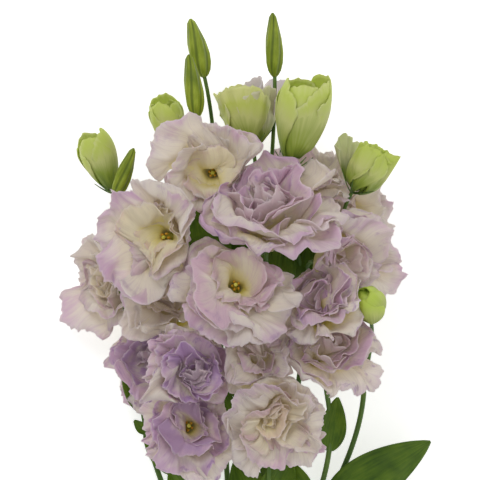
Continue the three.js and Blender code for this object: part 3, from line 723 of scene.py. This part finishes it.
def petal_material():
    n = Nodes("lisianthus_petal")
    across, along = n.uv()
    tint = n.times(n.number("petal_tint"), 40.0)
    streaks = n.streak(across, along, tint, (30.0, 1.6), 3.0)
    patches = n.streak(across, along, tint, (2.6, 2.2), 3.0, 0.6)
    blots = n.streak(across, along, tint, (7.0, 5.0), 3.0, 0.65)
    # How near a point is to the petal's side edges or tip.
    side = n.math("ABSOLUTE", n.linear(across, 2.0, -1.0))
    edge = n.math("MAXIMUM", along, n.times(side, n.math("POWER", along, 0.5)))
    # The yellow of the throat reaches further out on the inner petals of the creamier blooms.
    warm = n.times(n.number("cream"), n.step(n.number("petal_layer"), 0.1, 1.0))
    from_throat = n.plus(along, n.linear(streaks, 0.16, -0.08))
    colour = n.ramp(
        n.math("SUBTRACT", from_throat, n.times(warm, 0.16)),
        (0.04, tone(196, 194, 60)),
        (0.20, tone(238, 230, 96)),
        (0.36, tone(252, 245, 176)),
        (0.58, tone(252, 246, 231)),
        (1.00, tone(238, 231, 228)),
    )
    # Lavender: strongest near the edge, in patches and faint streaks.
    blush = n.plus(n.linear(edge, 2.0, -1.66), n.linear(patches, 1.8, -0.88))
    blush = n.plus(blush, n.linear(streaks, 0.5, -0.24))
    # Inner petals take more of the bloom's lavender than outer ones.
    inner = n.linear(n.step(n.number("petal_layer"), 0.0, 0.5), 0.7, 0.3)
    blush = n.plus(blush, n.linear(n.times(n.number("lavender"), inner), 0.85, -0.26))
    blush = n.plus(blush, n.linear(n.number("petal_tint"), 0.5, -0.25))
    blush = n.step(blush, -0.15, 0.7)
    colour = n.mix(n.times(blush, 0.8), colour, tone(224, 186, 220))
    spots = n.times(n.step(blots, 0.56, 0.72), n.step(edge, 0.6, 0.95))
    spots = n.times(spots, n.linear(n.number("lavender"), 0.8, 0.1))
    colour = n.mix(spots, colour, tone(172, 132, 190))
    # Fine veins, a little deeper than the petal.
    veins = n.streak(across, along, tint, (75.0, 3.0), 2.0)
    veins = n.times(n.step(veins, 0.5, 0.7), n.step(along, 0.25, 0.7))
    colour = n.mix(n.times(veins, 0.16), colour, tone(182, 150, 186))
    # The inner petals of the most lavender blooms are violet.
    deep = n.times(n.step(n.number("lavender"), 0.8, 0.92), n.step(n.number("petal_layer"), 0.1, 0.6))
    deep = n.times(deep, n.times(n.step(patches, 0.3, 0.6), n.step(along, 0.2, 0.6)))
    colour = n.mix(n.times(deep, 0.75), colour, tone(184, 144, 208))
    colour = n.mix(n.times(warm, 0.55), colour, tone(252, 243, 178))
    # The underside is a greyer white.
    under = n.times(n.step(n.number("under"), 0.4, 0.6), 0.55)
    colour = n.mix(under, colour, tone(224, 215, 202))
    # A thin pale rim: a painted highlight along the petal's edges.
    rim = n.step(n.math("MAXIMUM", along, side), 0.965, 1.0)
    colour = n.mix(n.times(rim, 0.5), colour, tone(250, 242, 240))
    n.link(colour, n.shader.inputs["Base Color"])
    n.shader.inputs["Roughness"].default_value = 0.6
    n.shader.inputs["Sheen Weight"].default_value = 0.1
    # A faint painted glow: the petals give off a little grey-pink light of their own, to lighten the
    # shade between them.
    n.shader.inputs["Emission Color"].default_value = tone(206, 192, 192)
    n.shader.inputs["Emission Strength"].default_value = 0.04
    n.shine_through(colour, 0.48)
    crinkles = n.streak(across, along, tint, (22.0, 12.0), 3.0, 0.6)
    rough = n.times(crinkles, n.linear(edge, 0.8, 0.1))
    n.bump(n.plus(n.plus(streaks, rough), n.times(blots, 0.6)), 0.5, 0.0007)
    return n.material


def bud_material():
    n = Nodes("lisianthus_bud")
    across, along = n.uv()
    tint = n.times(n.number("petal_tint"), 40.0)
    streaks = n.streak(across, along, tint, (26.0, 1.2), 3.0)
    patches = n.streak(across, along, tint, (2.0, 2.0), 2.0)
    shift = n.linear(streaks, 0.3, -0.15)
    shift = n.plus(shift, n.linear(patches, 0.5, -0.25))
    colour = n.ramp(
        n.linear(along, n.linear(n.number("cream"), 0.5, 0.5), shift),
        (0.0, tone(98, 126, 32)),
        (0.25, tone(158, 178, 66)),
        (0.55, tone(216, 220, 142)),
        (0.8, tone(212, 222, 112)),
        (0.98, tone(230, 232, 160)),
    )
    fresh = n.times(n.math("SUBTRACT", 1.0, n.number("cream")), n.step(along, 0.5, 0.9))
    colour = n.mix(fresh, colour, tone(198, 226, 62))
    side = n.math("ABSOLUTE", n.linear(across, 2.0, -1.0))
    pale = n.times(n.step(n.times(side, along), 0.5, 1.0), n.number("cream"))
    colour = n.mix(n.times(pale, 0.45), colour, tone(228, 226, 192))
    bare = n.times(n.number("bare"), n.step(n.plus(along, shift), 0.2, 0.6))
    colour = n.mix(n.times(bare, 0.9), colour, tone(232, 220, 230))
    n.link(colour, n.shader.inputs["Base Color"])
    n.shader.inputs["Roughness"].default_value = 0.5
    n.shine_through(colour, 0.25)
    n.bump(streaks, 0.25, 0.0006)
    return n.material


def green_material(name, dark, mid, light, groove_shade=None):
    """A leaf or stem green, mottled along its length, with painted shade darkening its five grooves if
    it has them.
    """
    n = Nodes(name)
    across, along = n.uv()
    fibre = n.streak(across, along, 0.0, (14.0, 3.0), 4.0, 0.6)
    cloud = n.noise(n.add("TexCoord").outputs["Object"], 60.0, 3.0)
    colour = n.ramp(
        n.plus(n.times(fibre, 0.5), n.times(cloud, 0.5)),
        (0.3, dark),
        (0.5, mid),
        (0.7, light),
    )
    if groove_shade:
        # Painted shade: the colour darkens towards the deep green in the grooves between the ribs.
        groove_shade_mask = n.step(n.math("COSINE", n.times(across, 10 * math.pi)), 0.3, 1.0)
        colour = n.mix(n.times(groove_shade_mask, 0.6), colour, groove_shade)
    n.link(colour, n.shader.inputs["Base Color"])
    n.shader.inputs["Roughness"].default_value = 0.5
    n.shader.inputs["Specular IOR Level"].default_value = 0.3
    n.shader.inputs["Subsurface Weight"].default_value = 0.1
    n.shader.inputs["Subsurface Radius"].default_value = (0.3, 0.6, 0.2)
    n.shader.inputs["Subsurface Scale"].default_value = 0.002
    n.bump(fibre, 0.3, 0.0005)
    return n.material


def heart_material():
    n = Nodes("lisianthus_heart")
    cloud = n.noise(n.add("TexCoord").outputs["Object"], 600.0, 3.0)
    colour = n.ramp(
        cloud,
        (0.3, tone(184, 180, 62)),
        (0.5, tone(212, 206, 84)),
        (0.7, tone(230, 224, 124)),
    )
    anther = n.number("anther")
    pollen = n.ramp(cloud, (0.3, tone(206, 140, 24)), (0.7, tone(246, 200, 74)))
    colour = n.mix(anther, colour, pollen)
    n.link(colour, n.shader.inputs["Base Color"])
    n.shader.inputs["Roughness"].default_value = 0.7
    n.bump(cloud, 0.6, 0.0004)
    return n.material


def band_material():
    n = Nodes("rubber_band")
    cloud = n.noise(n.add("TexCoord").outputs["Object"], 300.0, 3.0)
    colour = n.ramp(cloud, (0.3, tone(156, 118, 72)), (0.7, tone(184, 146, 96)))
    n.link(colour, n.shader.inputs["Base Color"])
    n.shader.inputs["Roughness"].default_value = 0.62
    n.bump(cloud, 0.3, 0.0003)
    return n.material


def material(key):
    """One material of each kind, made when first wanted."""
    made = bpy.data.materials.get(key)
    if made:
        return made
    greens = {
        "lisianthus_stem": (tone(52, 82, 30), tone(84, 114, 48), tone(120, 146, 70)),
        "lisianthus_leaf": (tone(46, 76, 8), tone(78, 108, 16), tone(108, 136, 32)),
        "lisianthus_slim": (
            tone(92, 112, 18),
            tone(132, 148, 38),
            tone(166, 180, 62),
            # the fourth green is the painted shade in the slim buds' grooves
            tone(52, 74, 10),
        ),
    }
    if key in greens:
        return green_material(key, *greens[key])
    return {
        "lisianthus_petal": petal_material,
        "lisianthus_bud": bud_material,
        "lisianthus_heart": heart_material,
        "rubber_band": band_material,
    }[key]()


# ---------------------------------------------------------------- stems, leaves, buds


def quadratic(a, b, c, count):
    t = np.linspace(0, 1, count)[:, None]
    return (1 - t) ** 2 * a + 2 * t * (1 - t) * b + t**2 * c


def cubic(a, b, c, d, count):
    t = np.linspace(0, 1, count)[:, None]
    return (1 - t) ** 3 * a + 3 * t * (1 - t) ** 2 * b + 3 * t**2 * (1 - t) * c + t**3 * d


def stem_paths(name):
    """A stem's path from its cut end to the fork, its upper part alone, and each branch's path."""
    slot, fork, carries = STEMS[name]
    tied = np.array((slot[0] * SLOT_STEP, BAND_Y, LOW_ROW + (slot[1] + 1) * ROW_STEP))
    below = np.array((tied[0], BAND_Y - BAND_GRIP, tied[2]))
    above = np.array((tied[0], BAND_Y + BAND_GRIP, tied[2]))
    cut = np.array((tied[0] * 1.5, CUT_Y + 6 * chance(slot[0] * 7 + 3, slot[1] + 2), tied[2]))
    fork = np.array(fork, float)
    run = fork - above
    leaving = above + run * (0.03, 0.3, 0.03)
    arriving = fork - run * (0.06, 0.36, 0.15)
    lower = quadratic(cut, np.array((below[0], BAND_Y - 40, below[2])), below, 8)
    upper = (above, leaving, arriving, fork)
    onward = unit(fork - arriving)
    branches = []
    for carried in carries:
        base, faces = seat_of(carried)
        apart = np.linalg.norm(base - fork)
        start = fork - onward
        away = start + onward * apart * 0.35
        toward = base - faces * min(apart * 0.4, 40)
        end = base + faces * (2 if carried in SLIM_BUDS else -2)
        branches.append(cubic(start, away, toward, end, 26))
    return np.concatenate([lower, cubic(*upper, 40)]), upper, branches


def tube(path, radii, sides=12, wobble=0.03, seed=0):
    """A stalk: a grid wrapped round a path, closed at both ends."""
    path = np.asarray(path, float)
    count = len(path)
    o, u, v = grid(sides, count - 1)
    tangents = np.gradient(path, axis=0)
    tangents /= np.linalg.norm(tangents, axis=1)[:, None]
    aside = np.array((1.0, 0, 0))
    sideways, upwards = [], []
    for t in tangents:
        across = unit(np.cross(t, aside))
        aside = np.cross(across, t)
        sideways.append(aside)
        upwards.append(across)
    ring = np.rint(u * (count - 1)).astype(int)
    angle = v * math.pi
    lumps = 1 + wobble * np.sin(3 * angle + seed) * np.cos(0.31 * ring + seed)
    radius = np.asarray(radii)[ring] * lumps
    out = np.array(sideways)[ring] * np.cos(angle)[:, None]
    out = out - np.array(upwards)[ring] * np.sin(angle)[:, None]
    place(o, path[ring] + out * radius[:, None])
    sew(fill=True)
    o.data.shade_smooth()
    return o


def leaf_blade(name, along, to, half, seed):
    """A leaf: an oval blade with a folded midrib and waved edges."""
    upper = stem_paths(name)[1]
    root = cubic(*upper, 201)[round(along * 200)]
    to = np.array(to, float)
    across = unit(np.cross(to, (0, 0, 1)))
    upward = unit(np.cross(across, to))
    o, u, v = grid(14, 24)
    wide = half * np.sin(math.pi * np.minimum(0.06 + 0.94 * u**0.85, 1)) ** 0.8 + 0.5
    lift = 0.09 * np.linalg.norm(to) * np.sin(math.pi * u) + 0.2 * wide * v * v
    wave = 0.1 * half * np.sin(7 * u + 3 * v + seed) * np.abs(v)
    place(o, root + np.outer(u, to) + np.outer(wide * v, across) + np.outer(lift + wave, upward))
    smooth = o.modifiers.new("smooth", "SUBSURF")
    smooth.levels = smooth.render_levels = 1
    thicken(o, LEAF_THICKNESS)
    o.data.shade_smooth()
    return o


def slim_bud(name):
    """A slim green bud: five ribs that twist a little, narrowing to a blunt tip."""
    base, tip, radius = SLIM_BUDS[name]
    seat, faces = seat_of(name)
    tall = np.linalg.norm(np.array(tip) - np.array(base))
    o, u, v = grid(40, 30)
    levels = (0, 0.03, 0.1, 0.22, 0.38, 0.6, 0.82, 0.94, 1)
    widths = (0.25, 0.45, 0.72, 0.93, 1.0, 0.88, 0.58, 0.4, 0.1)
    wide = np.interp(u, levels, widths)
    angle = v * math.pi + u * 0.9
    rib = np.cos(5 * v * math.pi)
    r = radius * wide * (0.97 + 0.1 * np.abs(rib) ** 0.7 * np.sign(rib))
    points = np.stack([r * np.cos(angle), r * np.sin(angle), u * tall], -1) @ frame_along(faces).T + seat
    place(o, points)
    sew()
    o.data.shade_smooth()
    return o


def calyx(name):
    """The green cup under a flower, with five narrow sepals."""
    base, faces = seat_of(name)
    turned = frame_along(faces)
    bloom = BLOOMS.get(name)
    size = bloom[1] / BLOOM_RADIUS if bloom else 0.6
    out, up = (13 * size, 4 * size) if bloom else (PALE_BUDS[name][2] * 0.7 + 2.4, 10)
    parts = []
    o, u, v = grid(20, 8)
    radius = np.interp(u, (0, 0.5, 1), (1.4, 2.3, 2.7)) * size
    angle = v * math.pi
    points = np.stack([radius * np.cos(angle), radius * np.sin(angle), -3 + 3.6 * u], -1)
    place(o, points @ turned.T + base)
    parts.append(o)
    for i in range(5):
        turn = 2 * math.pi * (i + 0.5) / 5
        o, u, v = grid(4, 12)
        width = 1.7 * size * (1 - u) ** 0.7 * v
        x = 2 * size + (out - 2 * size) * u
        z = -0.6 + (up + 0.6) * u**1.3 - 0.3 * size * v * v
        cosine, sine = math.cos(turn), math.sin(turn)
        points = np.stack([x * cosine - width * sine, x * sine + width * cosine, z], -1)
        place(o, points @ turned.T + base)
        thicken(o, SEPAL_THICKNESS)
        parts.append(o)
    o = joined(parts)
    o.data.shade_smooth()
    return o


def whole_stem(name):
    """A stem with all that grows on it, as one piece."""
    main, _upper, branches = stem_paths(name)
    parts = [tube(main, np.linspace(STEM_RADIUS, STEM_RADIUS * 0.9, len(main)), seed=len(name))]
    for carried, path in zip(STEMS[name][2], branches):
        swell = np.linspace(BRANCH_RADIUS + 0.2, BRANCH_RADIUS, len(path))
        parts.append(tube(path, swell, sides=10, seed=len(carried)))
        if carried not in SLIM_BUDS:
            parts.append(calyx(carried))
    for o in parts:
        o.data.materials.append(material("lisianthus_stem"))
    for carried in STEMS[name][2]:
        if carried in SLIM_BUDS:
            o = slim_bud(carried)
            o.data.materials.append(material("lisianthus_slim"))
            parts.append(o)
    for stem, *leaf in LEAVES:
        if stem == name:
            o = leaf_blade(stem, *leaf)
            o.data.materials.append(material("lisianthus_leaf"))
            parts.append(o)
    return settle(joined(parts), name + "_grown")


def bloom_heart(name):
    """The pistil with its two-lobed tip, and the stamens round it."""
    base, faces = seat_of(name)
    turned = frame_along(faces)
    radius, seed = BLOOMS[name][1], BLOOMS[name][6]
    foot = radius / BLOOM_RADIUS * CORE_HEIGHT + GAP
    parts = []

    def lathe(profile, centre, anther, sides=12):
        o, u, v = grid(sides, len(profile) - 1)
        ring = np.rint(u * (len(profile) - 1)).astype(int)
        r, z = np.array(profile, float)[ring].T
        angle = v * math.pi
        points = np.stack([centre[0] + r * np.cos(angle), centre[1] + r * np.sin(angle), z], -1)
        place(o, points @ turned.T + base)
        mark(o, anther=anther)
        parts.append(o)

    wide = 6.5 * radius / BLOOM_RADIUS
    pistil = [(0, -3), (wide, -1.5), (wide * 0.9, -0.6), (3.2, 0), (2.2, 0.6), (2.0, 2), (1.3, 5)]
    pistil += [(0.7, 7), (0.6, 9), (1.3, 10.4), (1.5, 11.2), (1.1, 12), (0, 12.3)]
    lathe([(r, foot + z) for r, z in pistil], (0, 0), 0)
    for i in range(5):
        angle = 2 * math.pi * (i + 0.5) / 5 + seed
        reach = 2.2 + 0.8 * chance(seed, i)
        tall = foot + 5.5 + 2 * chance(seed + 3, i)
        out = np.array((math.cos(angle), math.sin(angle)))
        lathe([(0, foot), (0.25, foot + 0.2), (0.25, tall)], out * reach, 0, 8)
        anther = [(0, -0.6), (0.7, -0.1), (0.95, 1.2), (0.8, 2.8), (0, 3.6)]
        lathe([(r, tall + z) for r, z in anther], out * reach, 1, 8)
    o = joined(parts)
    o.data.shade_smooth()
    return settle(o, name + "_stamens", material("lisianthus_heart"))


def rubber_band():
    """Turns of a rubber strip round the stems, with a groove between turns."""
    wide = 1.5 * SLOT_STEP
    inner = STEM_RADIUS + GAP
    width = BAND_TURN * BAND_TURNS
    section = [(0, 0.1), (0, width - 0.1)]
    for i in range(BAND_TURNS, 0, -1):
        top, low = i * BAND_TURN, (i - 1) * BAND_TURN + BAND_GROOVE
        section += [(0.9, top), (1.4, top - 0.2), (1.5, (top + low) / 2), (1.4, low + 0.2), (0.9, low)]
    section = np.array(section)
    corners = []
    for side, level, start in ((1, 1, 0), (-1, 1, 1), (-1, -1, 2), (1, -1, 3)):
        for i in range(10):
            corners.append((side, level, (start + i / 9) * math.pi / 2))
    corners.append(corners[0])
    corners = np.array(corners)
    section = np.concatenate([section, section[:1]])
    o, u, v = grid(len(section) - 1, len(corners) - 1)
    ring = np.rint(u * (len(corners) - 1)).astype(int)
    spot = np.rint((v + 1) / 2 * (len(section) - 1)).astype(int)
    side, level, angle = corners[ring].T
    thick, along = section[spot].T
    points = np.stack(
        [
            side * wide + (inner + thick) * np.cos(angle),
            BAND_Y - width / 2 + along,
            LOW_ROW + ROW_STEP * (1 + level) + (inner + thick) * np.sin(angle),
        ],
        -1,
    )
    place(o, points)
    sew()
    bpy.ops.object.shade_smooth_by_angle(angle=math.radians(50))
    return settle(o, "band_rubber", material("rubber_band"))


# ---------------------------------------------------------------- settings, operators, panel


class LisianthusSettings(bpy.types.PropertyGroup):
    petal_thickness: bpy.props.FloatProperty(
        name="Petal thickness",
        description="Thickness of a petal",
        default=0.00026,
        unit="LENGTH",
        subtype="DISTANCE",
    )
    light: bpy.props.FloatProperty(
        name="Light", description="Strength of the soft light all round", default=0.54, min=0.0
    )


class LISIANTHUS_OT_blooms(bpy.types.Operator):
    """Model the corollas of the open blooms"""

    bl_idname = "lisianthus.blooms"
    bl_label = "Blooms"

    def execute(self, context):
        thickness = context.scene.lisianthus.petal_thickness / MM
        for name, (_middle, radius, _faces, open_, lavender, cream, seed) in BLOOMS.items():
            whorls = (*BLOOM_WHORLS, CLOSING_WHORL)
            if name in OPEN_THROATS:
                whorls = BLOOM_WHORLS
            elif name in LAYERED:
                whorls = LAYERED_WHORLS
            elif name in FULLEST:
                whorls = FULL_WHORLS
            size = radius / BLOOM_RADIUS * FULLNESS.get(name, 1)
            o = corolla(name, whorls, seed, size, open_, BLOOM_FINENESS, thickness, lavender, cream)
            settle(o, name + "_petals", material("lisianthus_petal"))
            dress(o, "petals", name)
        return {"FINISHED"}


class LISIANTHUS_OT_hearts(bpy.types.Operator):
    """Model the pistil and stamens of each bloom"""

    bl_idname = "lisianthus.hearts"
    bl_label = "Hearts"

    def execute(self, context):
        for name in BLOOMS:
            dress(bloom_heart(name), "stamens", name + "_heart")
        return {"FINISHED"}


class LISIANTHUS_OT_buds(bpy.types.Operator):
    """Model the pale buds"""

    bl_idname = "lisianthus.buds"
    bl_label = "Pale buds"

    def execute(self, context):
        for name, (base, tip, _radius, whorls, seed) in PALE_BUDS.items():
            tall = np.linalg.norm(np.array(tip) - np.array(base))
            cream = BUD_CREAM.get(name, USUAL_CREAM)
            size = tall / BUD_LENGTH * FULLNESS.get(name, 1)
            o = corolla(name, whorls, seed, size, 1, BUD_FINENESS, BUD_PETAL_THICKNESS, 0, cream)
            settle(o, name + "_petals", material("lisianthus_bud"))
            dress(o, "buds", name)
        return {"FINISHED"}


class LISIANTHUS_OT_stems(bpy.types.Operator):
    """Model the stems with their branches, calyces, slim buds and leaves"""

    bl_idname = "lisianthus.stems"
    bl_label = "Stems"

    def execute(self, context):
        for name in STEMS:
            dress(whole_stem(name), "stems", name)
        return {"FINISHED"}


class LISIANTHUS_OT_band(bpy.types.Operator):
    """Model the rubber band that ties the stems"""

    bl_idname = "lisianthus.band"
    bl_label = "Band"

    def execute(self, context):
        dress(rubber_band(), "band", "band")
        return {"FINISHED"}


class LISIANTHUS_OT_stage(bpy.types.Operator):
    """Set the floor, the lights and the camera"""

    bl_idname = "lisianthus.stage"
    bl_label = "Stage"

    def execute(self, context):
        clear_selection()
        bpy.ops.mesh.primitive_plane_add(size=FLOOR_SIZE, location=(0, 0, FLOOR_LEVEL))
        floor = bpy.context.active_object
        floor.name = "floor"
        n = Nodes("white_floor")
        n.shader.inputs["Base Color"].default_value = (0.9, 0.9, 0.9, 1)
        n.shader.inputs["Roughness"].default_value = 0.9
        n.shader.inputs["Emission Color"].default_value = (1, 1, 1, 1)
        n.shader.inputs["Emission Strength"].default_value = 0.55
        floor.data.materials.append(n.material)
        world = bpy.data.worlds.new("soft_light")
        context.scene.world = world
        world.use_nodes = True
        world.node_tree.nodes["Background"].inputs[0].default_value = (1, 1, 1, 1)
        world.node_tree.nodes["Background"].inputs[1].default_value = context.scene.lisianthus.light
        focus = Vector(FOCUS) * MM + AROUND
        for spot, energy, size in LAMPS:
            bpy.ops.object.light_add(type="AREA", location=Vector(spot) + AROUND)
            lamp = bpy.context.active_object
            lamp.data.energy = energy
            lamp.data.size = size
            lamp.rotation_euler = (focus - lamp.location).to_track_quat("-Z", "Y").to_euler()
        bpy.ops.object.camera_add(location=AROUND + Vector((0, 0, CAMERA_HEIGHT)))
        camera = bpy.context.active_object
        camera.rotation_euler = (0, 0, 0)
        camera.data.sensor_width = SENSOR
        camera.data.lens = SENSOR * (CAMERA_HEIGHT - BLOOM_HEIGHT) / FRAME_WIDTH
        context.scene.camera = camera
        context.scene.view_settings.view_transform = "Standard"
        return {"FINISHED"}


class LISIANTHUS_PT_panel(bpy.types.Panel):
    bl_idname = "LISIANTHUS_PT_panel"
    bl_label = "Lisianthus Bunch"
    bl_space_type = "VIEW_3D"
    bl_region_type = "UI"
    bl_category = "Lisianthus"

    def draw(self, context):
        settings = context.scene.lisianthus
        self.layout.prop(settings, "petal_thickness")
        self.layout.prop(settings, "light")
        for operator in OPERATORS:
            self.layout.operator(operator.bl_idname)


OPERATORS = (
    LISIANTHUS_OT_stage,
    LISIANTHUS_OT_stems,
    LISIANTHUS_OT_buds,
    LISIANTHUS_OT_blooms,
    LISIANTHUS_OT_hearts,
    LISIANTHUS_OT_band,
)
CLASSES = (LisianthusSettings, *OPERATORS, LISIANTHUS_PT_panel)


def register():
    for c in CLASSES:
        bpy.utils.register_class(c)
    bpy.types.Scene.lisianthus = bpy.props.PointerProperty(type=LisianthusSettings)


def unregister():
    del bpy.types.Scene.lisianthus
    for c in reversed(CLASSES):
        bpy.utils.unregister_class(c)


def main():
    global AROUND
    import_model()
    clear_selection()
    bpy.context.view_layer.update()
    low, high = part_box("band")
    middle = (low + high) / 2
    AROUND = Vector((middle.x, middle.y - BAND_Y * MM, 0))
    register()
    bpy.ops.lisianthus.stage()
    bpy.ops.lisianthus.stems()
    bpy.ops.lisianthus.buds()
    bpy.ops.lisianthus.blooms()
    bpy.ops.lisianthus.hearts()
    bpy.ops.lisianthus.band()
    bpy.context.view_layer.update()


if __name__ == "__main__":
    main()
